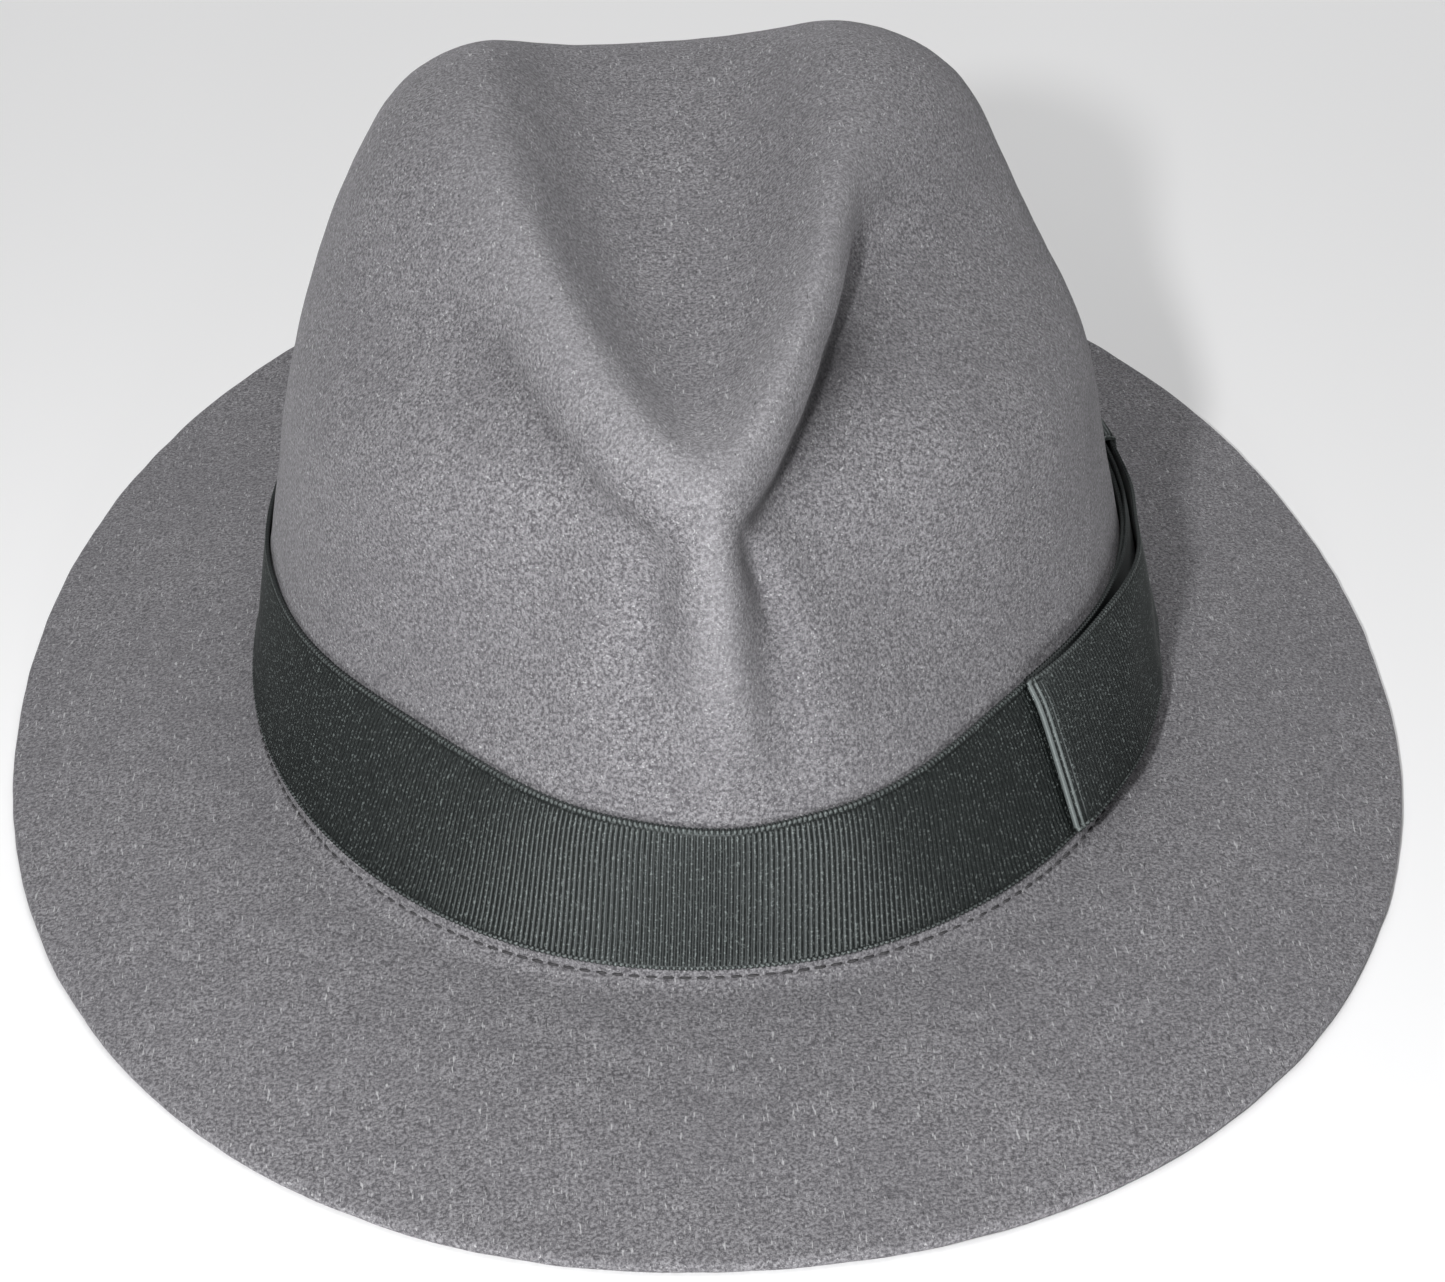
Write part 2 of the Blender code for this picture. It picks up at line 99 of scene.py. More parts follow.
# Beside the ridge three rings go down: (out, down) of each in the stem's middle, and in the front
# pinches of the wearer's right (-X), which is soft, and left (+X), which is a sharp fold.
STEM_FALL = ((0.0040, 0.0045), (0.0052, 0.0080), (0.0060, 0.0100))
RIGHT_FALL = ((0.0056, 0.0034), (0.0080, 0.0092), (0.0066, 0.0128))
LEFT_FALL = ((0.0030, 0.0040), (0.0022, 0.0105), (-0.0010, 0.0145))
SHOULDER_FALL = ((0.36, 0.02), (0.76, 0.30), (1.0, 1.0))    # the same where the shoulder is full, in shares
CHEEK_TURNS = ((1.10, 1.95), (1.44, 2.10))
WALL_TURNS = ((0.40, 1.70), (0.34, 1.75))
CREASE_TURNS = ((0.95, 1.75), (1.05, 1.75))
CREASE = (0.85, 1.0)               # how sharply the cheek is folded against the ridge
CHEEK_LIP = 0.0050                 # how far the cheek stands out beside that fold
LIP_RISE = 0.15                    # and how far up it is drawn, as a share of the wall
GROOVE_DEPTH = (0.0052, 0.0062)    # how far the pinches run on down beside the stem
GROOVE_WIDTH = (0.15, 0.10)
GROOVE_SPREAD = (1.80, 1.35)
STEM_HALF_TURN = 0.33
STEM_CORE = 0.10                   # half of the stem that the pinches leave alone
PRESS = (0.0050, 0.0035)           # how far the sides are pressed flat in front
PRESS_TURN = 0.62
PRESS_WIDTH = 0.38

RIBBON = 0.0006                    # thickness of the grosgrain
LINING = 0.0004
LEATHER = 0.0009
KNOT_TURN = 1.80                   # where the bow's knot sits, round from the front
KNOT_HALF_TURN = 0.085
FRONT_FOLD_TURNS = (0.765, 0.80)   # fold of the front loop, at its lower and upper edge
REAR_FOLD_TURNS = (2.28, 2.40)
LOOP_PUFF = 0.0010                 # how far a loop stands open


# ---------------------------------------------------------------- helpers for curves
def smooth(start, end, value):
    t = np.clip((value - start) / (end - start), 0.0, 1.0)
    return t * t * (3.0 - 2.0 * t)


def by_side(turn, pair):
    """The first value on the wearer's right, the second on the wearer's left."""
    return np.where(turn < 0, pair[0], pair[1])


def rise_by_side(turn, ranges):
    return np.where(turn < 0, smooth(*ranges[0], np.abs(turn)), smooth(*ranges[1], np.abs(turn)))


def outward(turn):
    return np.stack([np.sin(turn), -np.cos(turn), np.zeros_like(turn)], -1)


def oval(turn, half_width, half_length, power=2.0):
    """x and y of a superellipse; turn 0 is the front, pi / 2 the wearer's left."""
    s, c = np.sin(turn), np.cos(turn)
    k = (np.abs(s) ** power + np.abs(c) ** power) ** (-1.0 / power)
    return half_width * k * s, -half_length * k * c


def columns(count):
    """Turns all round the hat, closer together in front, where the pinches are."""
    even = np.linspace(-math.pi, math.pi, count, endpoint=False)
    return even - 0.3 * np.sin(even)


# ---------------------------------------------------------------- the hat's surface, as rings
def break_height(turn):
    return BREAK_HEIGHT + BREAK_SIDE_RISE * np.sin(turn) ** 2 - BREAK_BACK_FALL * (1 - np.cos(turn)) / 2


def brim_ring(turn, out):
    """A ring of the brim: out is 0 at the crown and 1 at the edge."""
    xb, yb = oval(turn, HEAD_HALF_WIDTH, HEAD_HALF_LENGTH, HEAD_SQUARENESS)
    xr, yr = oval(turn, BRIM_HALF_WIDTH, BRIM_HALF_LENGTH, BRIM_SQUARENESS)
    low = FELT + BACK_RIM_RISE * smooth(1.75, math.pi, np.abs(turn))
    high = break_height(turn)
    fall = out ** (1.35 + 1.2 * smooth(1.7, 3.0, np.abs(turn)))
    return np.stack([xb + (xr - xb) * out, yb + (yr - yb) * out, high + (low - high) * fall], -1)


def band_top_ring(turn):
    x, front = oval(turn, BAND_TOP_HALF_WIDTH, BAND_TOP_FRONT)
    back = oval(turn, BAND_TOP_HALF_WIDTH, BAND_TOP_BACK)[1]
    dent = TEMPLE_DENT * np.exp(-(((np.abs(turn) - TEMPLE_TURN) / TEMPLE_WIDTH) ** 2))
    ring = np.stack([x, np.minimum(front, 0) + np.maximum(back, 0), np.full_like(turn, BAND_TOP)], -1)
    return ring - outward(turn) * dent[..., None]


def foot_ring(turn, height, out=0.0):
    """A ring of the wall behind the band, this high over the break."""
    x, y = oval(turn, HEAD_HALF_WIDTH, HEAD_HALF_LENGTH, HEAD_SQUARENESS)
    base = np.stack([x, y, break_height(turn)], -1)
    share = height / (BAND_TOP - break_height(turn))
    return base + (band_top_ring(turn) - base) * share[..., None] + outward(turn) * out


def crest_ring(turn, lift=0.0):
    """The ridge around the top dent: a teardrop whose point is low in front."""
    front = ((1 + np.cos(turn)) / 2) ** FORK_POWER
    back = ((1 - np.cos(turn)) / 2) ** BACK_DIP_POWER
    taper = 1.0 - CREST_TAPER * np.cos(turn / 2) ** 2
    power = 1.0 - CREST_BACK_SQUARENESS * smooth(1.2, 2.6, np.abs(turn))
    side = np.sign(turn) * np.abs(np.sin(turn)) ** power
    x = CREST_HALF_WIDTH * side * taper + CREST_SHIFT_X * (1 - 0.4 * front)
    y = CREST_CENTRE_Y - CREST_HALF_LENGTH * np.cos(turn)
    z = CREST_HEIGHT + lift - FORK_DROP * front - BACK_DIP * back
    return np.stack([x, y, z], -1)


def stem(turn, half_turn=STEM_HALF_TURN):
    return np.exp(-((turn / half_turn) ** 2))


def beside_crest(turn, out, down):
    ring = crest_ring(turn) + outward(turn) * out[..., None]
    ring[..., 2] -= down
    return ring


def crease(turn):
    """How sharply the crown is folded beside the ridge, from 0 to 1."""
    fade = 1 - rise_by_side(turn, CREASE_TURNS)
    return by_side(turn, CREASE) * smooth(0.20, 0.50, np.abs(turn)) * fade


def beside_ridge(turn, ring, turns=CHEEK_TURNS):
    """One of the three rings beside the ridge: 0 is next to it and 2 is the shoulder."""
    fall = np.where(turn[..., None] < 0, RIGHT_FALL[ring], LEFT_FALL[ring])
    fall = fall + (np.array(STEM_FALL[ring]) - fall) * stem(turn)[..., None]
    wide = SHOULDER_OUT[0] + (SHOULDER_OUT[1] - SHOULDER_OUT[0]) * smooth(1.9, 3.0, np.abs(turn))
    wide = SHOULDER_FALL[ring][0] * wide - CREST_SHIFT_X * np.sin(turn)
    deep = np.full_like(turn, SHOULDER_FALL[ring][1] * SHOULDER_DOWN)
    fall = fall + (np.stack([wide, deep], -1) - fall) * rise_by_side(turn, turns)[..., None]
    return beside_crest(turn, fall[..., 0], fall[..., 1])


def groove(turn, place):
    """The pinch running on down beside the stem, this far round from the front."""
    away = np.abs(turn) - place * by_side(turn, GROOVE_SPREAD)
    return by_side(turn, GROOVE_DEPTH) * np.exp(-((away / by_side(turn, GROOVE_WIDTH)) ** 2))


def wall_ring(turn, up, swell, lip, dig, place):
    """A ring of the wall: up is 0 at the band's top edge and 1 at the shoulder."""
    low, high = band_top_ring(turn), beside_ridge(turn, 2, WALL_TURNS)
    cheek, fold = rise_by_side(turn, WALL_TURNS), crease(turn)
    up = up + LIP_RISE * lip * fold
    press = by_side(turn, PRESS) * np.exp(-(((np.abs(turn) - PRESS_TURN) / PRESS_WIDTH) ** 2))
    sink = dig * (groove(turn, place) + press) * (1 - stem(turn, STEM_CORE))
    out = swell * cheek + CHEEK_LIP * lip * fold - sink
    return low + (high - low) * up[..., None] + outward(turn) * out[..., None]


def dent_ring(turn, scale, sink):
    """A ring inside the top dent: scale shrinks the ridge, sink lowers it to the floor."""
    crest = crest_ring(turn)
    x = (crest[..., 0] - CREST_SHIFT_X) * scale + CREST_SHIFT_X
    y = (crest[..., 1] - CREST_CENTRE_Y) * scale + CREST_CENTRE_Y
    along = (y - CREST_CENTRE_Y + CREST_HALF_LENGTH) / (2 * CREST_HALF_LENGTH)
    floor = DENT_FLOOR[0] + (DENT_FLOOR[1] - DENT_FLOOR[0]) * along
    return np.stack([x, y, crest[..., 2] + (floor - crest[..., 2]) * sink], -1)


def control_rings(turn):
    """Every ring from the brim's edge, up the wall, over the ridge and into the dent."""
    turn = np.remainder(turn + math.pi, 2 * math.pi) - math.pi
    rings = [brim_ring(turn, out) for out in (1.18, 1.0, 0.82, 0.62, 0.40, 0.22, 0.10)]
    rings += [foot_ring(turn, 0.0, 0.0015)]
    rings += [foot_ring(turn, height) for height in (0.0035, 0.0110, 0.0200)]
    rings += [band_top_ring(turn)]
    rings += [wall_ring(turn, 0.25, 0.0015, 0.0, 0.4, 0.10), wall_ring(turn, 0.50, 0.0030, 0.4, 0.8, 0.12)]
    rings += [wall_ring(turn, 0.75, 0.0030, 1.0, 1.0, 0.18)]
    rings += [beside_ridge(turn, 2), beside_ridge(turn, 1), beside_ridge(turn, 0)]
    rings += [crest_ring(turn, 0.0020)]
    rings += [dent_ring(turn, 0.78, 0.22), dent_ring(turn, 0.56, 0.66), dent_ring(turn, 0.36, 0.94)]
    rings += [dent_ring(turn, scale, 1.0) for scale in (0.18, 0.0, -0.18)]
    return np.array(rings)


RING_SPANS = 22                    # spans of the spline over the rings above


def surface(turn, row):
    """Points of the felt's outside: a uniform cubic B-spline over the rings. The arrays broadcast."""
    turn, row = np.atleast_1d(np.asarray(turn, float)), np.atleast_1d(np.asarray(row, float))
    shape = np.broadcast_shapes(turn.shape, row.shape)
    turn = turn.reshape((1,) * (len(shape) - turn.ndim) + turn.shape)
    rings, row = control_rings(turn), np.broadcast_to(row, shape)
    first = np.clip(np.floor(row).astype(int), 0, RING_SPANS - 1)
    t = (row - first)[..., None]
    weights = ((1 - t) ** 3, 3 * t**3 - 6 * t**2 + 4, -3 * t**3 + 3 * t**2 + 3 * t + 1, t**3)
    at = [np.minimum(i, size - 1) for i, size in zip(np.indices(shape), turn.shape)]
    return sum(w * rings[(first + k, *at)] for k, w in enumerate(weights)) / 6


def skin(turn, row, offset=0.0):
    """Points this far outside the felt's outer surface, along its normal."""
    step = 1e-3
    turn, row = np.asarray(turn, float), np.asarray(row, float)
    inner_row = np.minimum(row, RING_SPANS - 0.05)
    across = surface(turn + step, inner_row) - surface(turn - step, inner_row)
    up = surface(turn, inner_row + step) - surface(turn, inner_row - step)
    normal = np.cross(across, up)
    normal /= np.linalg.norm(normal, axis=-1, keepdims=True)
    pole = np.broadcast_to(row > inner_row, normal.shape[:-1])
    if pole.any():
        level = normal[pole].mean(axis=0)
        normal = np.where(pole[..., None], level / np.linalg.norm(level), normal)
    return surface(turn, row) + normal * np.asarray(offset, float)[..., None]


# ---------------------------------------------------------------- fine unevenness
def waves(points, length, seed, count=14):
    """Smooth unevenness from -1 to 1 with bumps about this long."""
    draw = np.random.default_rng(seed)
    heading = draw.normal(size=(count, 3))
    heading /= np.linalg.norm(heading, axis=1, keepdims=True)
    number = 2 * math.pi / (length * draw.uniform(0.7, 1.5, count))
    phase = draw.uniform(0, 2 * math.pi, count)
    total = np.zeros(points.shape[:-1])
    for h, n, p in zip(heading, number, phase):
        total += np.sin(points @ h * n + p)
    return total / (0.5 * count) ** 0.5 / 2


# ---------------------------------------------------------------- building meshes
def add_object(name, points, faces, look, coordinates=None, shade=None):
    """shade is (name, values): one number at each point, for the material to use."""
    mesh = bpy.data.meshes.new(name)
    mesh.from_pydata(points.tolist(), [], faces)
    if coordinates is not None:
        corner = np.empty(len(mesh.loops), np.int32)
        mesh.loops.foreach_get("vertex_index", corner)
        layer = mesh.uv_layers.new(name="cloth")
        layer.data.foreach_set("uv", coordinates[corner].astype(np.float32).ravel())
    if shade is not None:
        held = mesh.attributes.new(shade[0], "FLOAT", "POINT")
        held.data.foreach_set("value", shade[1].astype(np.float32))
    mesh.shade_smooth()
    mesh.materials.append(look)
    made = bpy.data.objects.new(name, mesh)
    bpy.context.scene.collection.objects.link(made)
    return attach(made, "root")


def grid_normals(grid, around):
    """Unit normals of a grid of points, rows by columns."""
    if around:
        across = np.roll(grid, -1, 1) - np.roll(grid, 1, 1)
    else:
        across = np.gradient(grid, axis=1)
    normal = np.cross(across, np.gradient(grid, axis=0))
    size = np.linalg.norm(normal, axis=-1, keepdims=True)
    return normal / np.maximum(size, 1e-12)


def metres_along(grid, axis):
    """How far each point of a grid lies along its rows (axis 1) or its columns (axis 0)."""
    step = np.linalg.norm(np.diff(grid, axis=axis), axis=-1)
    start = np.zeros_like(np.take(step, [0], axis))
    return np.concatenate([start, np.cumsum(step, axis)], axis)


RIM_ANGLES = np.radians([-54, -18, 18, 54])


def rim(front, back, away):
    """Rows that round the edge between two faces of a sheet."""
    centre, half = (front + back) / 2, (front - back) / 2
    reach = np.linalg.norm(half, axis=-1, keepdims=True) * 0.9
    return [centre + half * math.sin(a) + away * reach * math.cos(a) for a in -RIM_ANGLES]


def unit(vectors):
    return vectors / np.maximum(np.linalg.norm(vectors, axis=-1, keepdims=True), 1e-12)


def wrapped_faces(index, around, pole):
    """Faces of a skin of points that runs over the front of a sheet, round its rim and over its back."""
    if pole:
        index[0], index[-1] = index[0, 0], index[-1, 0]
    below = index[1:] if pole else np.roll(index, -1, 0)
    here = index[:-1] if pole else index
    last = index.shape[1] if around else index.shape[1] - 1
    right, below_right = (np.roll(i, -1, 1)[:, :last] for i in (here, below))
    corners = np.stack([here[:, :last], below[:, :last], below_right, right], -1)
    faces = []
    if pole:
        faces += corners[0][:, [0, 1, 2]].tolist() + corners[-1][:, [0, 1, 3]].tolist()
        corners = corners[1:-1]
    return faces + corners.reshape(-1, 4).tolist()


def end_faces(index, rows):
    """Faces that close a sheet's first and last columns. rows is how many rows its front has."""
    edge, faces = len(RIM_ANGLES), []
    for column, turned in ((0, False), (-1, True)):
        ring = index[:, column]
        fronts, backs = ring[:rows][::-1], ring[rows + edge:2 * rows + edge]
        quads = np.stack([fronts[:-1], fronts[1:], backs[1:], backs[:-1]], -1).tolist()
        quads.append([fronts[0], backs[0], *ring[rows:rows + edge][::-1]])
        quads.append([backs[-1], fronts[-1], *ring[2 * rows + edge:][::-1]])
        faces += [q[::-1] if turned else q for q in quads]
    return faces


def sheet(name, front, back, look, around=False, pole=False, shade=None):
    """A closed thin solid between two grids of points, with round rims at its first and last rows.

    around joins the last column to the first. pole closes the last row into one point.
    shade is (name, grid): a number at each point of the front; the back and the rims get 0.
    """
    rows, count = front.shape[:2]
    loop = [*front[::-1], *rim(front[0], back[0], unit(front[0] - front[1])), *back]
    if not pole:
        loop += rim(back[-1], front[-1], unit(front[-1] - front[-2]))
    grid = np.array(loop)
    across = metres_along(grid, 0)
    along = metres_along(grid[rows // 2][None], 1)
    coordinates = np.stack([np.broadcast_to(along, across.shape), across], -1).reshape(-1, 2)
    index = np.arange(len(grid) * count).reshape(len(grid), count)
    faces = wrapped_faces(index, around, pole)
    if not around:
        faces += end_faces(index, rows)
    points, used = grid.reshape(-1, 3), np.ones(grid[..., 0].size, bool)
    if pole:
        used, faces = compact(faces, len(points))
    if shade is not None:
        values = np.zeros(grid.shape[:2])
        values[:rows] = np.broadcast_to(shade[1], (rows, count))[::-1]
        shade = (shade[0], values.ravel()[used])
    return add_object(name, points[used], faces, look, coordinates[used], shade)


def compact(faces, count):
    """Drops the points that no face uses."""
    keep = np.zeros(count, bool)
    keep[np.concatenate([np.ravel(f) for f in faces])] = True
    number = np.cumsum(keep) - 1
    return keep, [[int(number[i]) for i in f] for f in faces]


def tube(path, radius, sides=8, closed=True):
    """Points and faces of a round cord along a path; an open one has flat ends."""
    ahead = np.roll(path, -1, 0) - np.roll(path, 1, 0)
    if not closed:
        ahead[0], ahead[-1] = path[1] - path[0], path[-1] - path[-2]
    ahead = unit(ahead)
    across = unit(np.cross(ahead, (0, 0, 1)))
    up = np.cross(across, ahead)
    radius = np.broadcast_to(radius, len(path))[:, None]
    angles = 2 * math.pi * np.arange(sides) / sides
    rings = [path + radius * (math.cos(a) * across + math.sin(a) * up) for a in angles]
    points = np.array(rings).transpose(1, 0, 2).reshape(-1, 3)
    index = np.arange(len(points)).reshape(len(path), sides)
    nxt = np.roll(index, -1, 1)
    last = len(path) if closed else len(path) - 1
    far, far_next = np.roll(index, -1, 0), np.roll(nxt, -1, 0)
    corners = np.stack([index, nxt, far_next, far], -1)[:last]
    faces = corners.reshape(-1, 4).tolist()
    if not closed:
        faces += [index[0][::-1].tolist(), index[-1].tolist()]
    return points, faces


# ---------------------------------------------------------------- node materials
class Nodes:
    """A short way to write a node material."""

    def __init__(self, name):
        self.material = bpy.data.materials.new(name)
        self.material.use_nodes = True
        self.tree = self.material.node_tree
        self.shader = self.tree.nodes["Principled BSDF"]

    def add(self, kind, settings=None, **sockets):
        node = self.tree.nodes.new("ShaderNode" + kind)
        for key, value in (settings or {}).items():
            setattr(node, key, value)
        for key, value in sockets.items():
            self.put(node.inputs[key.replace("_", " ")], value)
        return node

    def put(self, socket, value):
        if isinstance(value, bpy.types.NodeSocket):
            self.tree.links.new(value, socket)
        else:
            socket.default_value = value

    def set(self, **sockets):
        for key, value in sockets.items():
            self.put(self.shader.inputs[key.replace("_", " ")], value)

    def place(self, scale=(1.0, 1.0, 1.0), turn=(0.0, 0.0, 0.0), uv=False):
        """Object coordinates, or those of the cloth, stretched and turned."""
        source = self.add("TexCoord").outputs["UV" if uv else "Object"]
        return self.add("Mapping", Vector=source, Scale=scale, Rotation=turn).outputs[0]

    def noise(self, size, detail=2.0, rough=0.5, place=None):
        """Noise with spots about this big, from 0 to 1."""
        place = place or self.place()
        node = self.add("TexNoise", Vector=place, Scale=1.0 / size, Detail=detail, Roughness=rough)
        return node.outputs["Fac"]

    def surface_value(self, name):
        """A value that the mesh holds at each of its points."""
        return self.add("Attribute", {"attribute_type": "GEOMETRY", "attribute_name": name}).outputs["Fac"]

    def spread(self, value, low, high, out_low=0.0, out_high=1.0):
        """The value stretched from its range low to high, and held inside it."""
        node = self.add("MapRange", {"clamp": True}, Value=value)
        for key, number in (("From Min", low), ("From Max", high), ("To Min", out_low), ("To Max", out_high)):
            node.inputs[key].default_value = number
        return node.outputs[0]

    def mix(self, share, first, second):
        """A colour this share of the way from the first to the second."""
        node = self.add("Mix", {"data_type": "RGBA"})
        self.put(node.inputs["Factor"], share)
        colour_a, colour_b = node.inputs[6], node.inputs[7]
        for socket, value in ((colour_a, first), (colour_b, second)):
            self.put(socket, (*value, 1.0) if isinstance(value, tuple) else value)
        return node.outputs[2]

    def bump(self, height, depth, after=None):
        """A normal for relief this deep in metres, laid on another one where after is given."""
        node = self.add("Bump", Height=height, Strength=1.0, Distance=depth)
        if after is not None:
            self.put(node.inputs["Normal"], after)
        return node.outputs["Normal"]


def felt_look():
    """Grey fur felt: a short nap, light and dark fibres, a painted highlight on the ridges and painted shade
    in the folds.
    """
    n = Nodes("grey_fur_felt")
    cloudy, mottled = n.noise(0.040, 2.0, 0.5), n.noise(0.0070, 3.0, 0.6)
    grain, fine = n.noise(0.00055, 2.0, 0.65), n.noise(0.00030, 1.0, 0.5)
    tone = n.mix(n.spread(grain, 0.36, 0.64), (0.088, 0.085, 0.092), (0.330, 0.325, 0.340))
    tone = n.mix(n.spread(fine, 0.52, 0.70, 0.0, 0.60), tone, (0.060, 0.058, 0.064))
    tone = n.mix(n.spread(mottled, 0.30, 0.72, 0.0, 0.28), tone, (0.120, 0.116, 0.126))
    tone = n.mix(n.spread(cloudy, 0.35, 0.65, 0.0, 0.16), tone, (0.130, 0.126, 0.137))
    highlight_and_shade = n.surface_value("painted_highlight_and_shade")
    # painted highlight: paler felt on the ridges and the stem
    tone = n.mix(highlight_and_shade, tone, (0.380, 0.374, 0.392))
    for turn, light in (((0.4, 0.9, 0.2), 0.50), ((1.3, 0.2, 1.9), 0.04), ((2.2, 1.1, 0.8), 0.56)):
        hair = n.noise(0.00045, 1.0, 0.5, n.place((1.0, 0.20, 1.0), turn))
        tone = n.mix(n.spread(hair, 0.69, 0.76, 0.0, 0.65), tone, (light, light, light * 1.02))
    # painted shade: darker felt in the folds beside the ridge and the stem
    tone = n.mix(n.spread(highlight_and_shade, -0.9, 0.0, 0.9, 0.0), tone, (0.016, 0.015, 0.017))
    nap = n.bump(mottled, 0.00035, n.bump(grain, 0.00022))
    n.set(Base_Color=tone, Roughness=0.95, Normal=nap, Sheen_Weight=0.16, Sheen_Roughness=0.5)
    n.set(Sheen_Tint=(0.80, 0.79, 0.82, 1.0), Specular_IOR_Level=0.12)
    return n.material


def ribbon_look():
    """Black grosgrain with a green cast. Its ribs are in the mesh: silky on top and dull between, with
    painted shade between them and a painted highlight on the proud ribs of a fold.
    """
    n = Nodes("black_grosgrain")
    warp = n.noise(0.00022, 1.0, 0.5, n.place((0.25, 1.0, 1.0), uv=True))
    cloudy, specks = n.noise(0.012, 2.0, 0.5), n.noise(0.00040, 1.0, 0.6)
    # this value drives the painted shade between the ribs and the painted highlight on the proud ribs
    top = n.surface_value("weave")
    tone = n.mix(n.spread(cloudy, 0.3, 0.7), (0.004, 0.0055, 0.0050), (0.008, 0.0100, 0.0094))
    tone = n.mix(n.spread(warp, 0.40, 0.70, 0.0, 0.5), tone, (0.018, 0.022, 0.021))
    tone = n.mix(n.spread(specks, 0.57, 0.68, 0.0, 0.9), tone, (0.130, 0.148, 0.144))
    # painted shade between the ribs
    tone = n.mix(top, (0.0020, 0.0025, 0.0025), tone)
    # lighter on the selvage beads, and a painted highlight on the proud ribs of a fold
    tone = n.mix(n.spread(top, 1.0, 1.5, 0.0, 0.7), tone, (0.190, 0.215, 0.212))
    n.set(Base_Color=tone, Roughness=n.spread(top, 0.1, 0.8, 0.90, 0.52), Normal=n.bump(warp, 0.00003))
    n.set(Specular_IOR_Level=1.0, Specular_Tint=(0.92, 1.0, 1.0, 1.0), Anisotropic=0.95)
    n.set(Anisotropic_Rotation=0.25)
    n.set(Tangent=n.add("Tangent", {"direction_type": "RADIAL", "axis": "Z"}).outputs[0])
    return n.material


def thread_look(name, dark, light):
    """Twisted sewing thread."""
    n = Nodes(name)
    twist = n.noise(0.00025, 1.0, 0.5)
    n.set(Base_Color=n.mix(twist, dark, light), Roughness=n.spread(twist, 0.3, 0.7, 0.55, 0.75))
    n.set(Normal=n.bump(twist, 0.0001))
    return n.material


def leather_look():
    """Tan roan leather with fine pebbling, darker where the forehead has worn it."""
    n = Nodes("tan_leather")
    cells = n.add("TexVoronoi", {"feature": "DISTANCE_TO_EDGE"}, Vector=n.place(), Scale=1100.0)
    creases = n.spread(cells.outputs["Distance"], 0.0, 0.12)
    pores = n.noise(0.0006, 3.0, 0.6)
    worn = n.noise(0.030, 3.0, 0.55)
    tone = n.mix(n.spread(worn, 0.35, 0.70), (0.265, 0.128, 0.060), (0.170, 0.078, 0.036))
    tone = n.mix(n.spread(pores, 0.35, 0.75, 0.0, 0.45), tone, (0.330, 0.175, 0.090))
    tone = n.mix(n.spread(creases, 0.0, 1.0, 0.45, 0.0), tone, (0.110, 0.048, 0.022))
    grain = n.bump(pores, 0.00006, n.bump(creases, 0.00010))
    n.set(Base_Color=tone, Roughness=n.spread(worn, 0.3, 0.7, 0.42, 0.58), Normal=grain)
    n.set(Coat_Weight=0.10, Coat_Roughness=0.35)
    return n.material


def satin_look():
    """Grey satin: a fine twill line and a cloudy gloss."""
    n = Nodes("grey_satin")
    cloudy = n.noise(0.020, 2.0, 0.5)
    yarn = n.noise(0.00022, 1.0, 0.5, n.place((1.0, 0.12, 1.0), uv=True))
    tone = n.mix(n.spread(cloudy, 0.3, 0.7), (0.205, 0.200, 0.212), (0.245, 0.240, 0.252))
    tone = n.mix(n.spread(yarn, 0.35, 0.70, 0.0, 0.4), tone, (0.330, 0.325, 0.338))
    n.set(Base_Color=tone, Roughness=n.spread(cloudy, 0.3, 0.7, 0.30, 0.40), Normal=n.bump(yarn, 0.00004))
    n.set(Specular_IOR_Level=0.7, Sheen_Weight=0.15)
    return n.material


def tape_look():
    """Cotton piping tape, twill woven."""
    n = Nodes("piping_tape")
    weave = n.noise(0.0004, 2.0, 0.6)
    n.set(Base_Color=n.mix(weave, (0.035, 0.032, 0.033), (0.075, 0.070, 0.070)), Roughness=0.8)
    n.set(Normal=n.bump(weave, 0.00010), Sheen_Weight=0.2)
    return n.material


# ---------------------------------------------------------------- felt
FELT_COLUMNS = 720                 # columns of the felt mesh
FELT_STEP = 0.0011                 # spacing of the felt mesh's rows
STITCH_ROW = 6.38
STITCH_GROOVE = 0.00035            # how far the sewing draws the felt in


def even_rows(first, last, step, extra=()):
    """Rows about this far apart on the surface, from its mean length round the hat."""
    fine = np.linspace(first, last, 400)
    length = metres_along(surface(columns(24)[None, :], fine[:, None]), 0).mean(axis=1)
    count = int(round(length[-1] / step)) + 1
    rows = np.interp(np.linspace(0, length[-1], count), length, fine)
    return np.unique(np.append(rows, extra))


RIDGE_HIGHLIGHT = 0.24                        # painted highlight: how much paler the felt is painted on the ridges
FOLD_SHADE = (0.25, 0.85)                # painted shade: how much darker the felt is painted in the folds
HIGHLIGHT_ROW = 16.7                  # where the painted highlight peaks, just outside the ridge, which is row 17
FOLD_ROW = 14.3                    # the bottom of the folds, where the painted shade is darkest
BESIDE_STEM = 0.21                 # turn of the folds that run down beside the stem, with painted shade along them


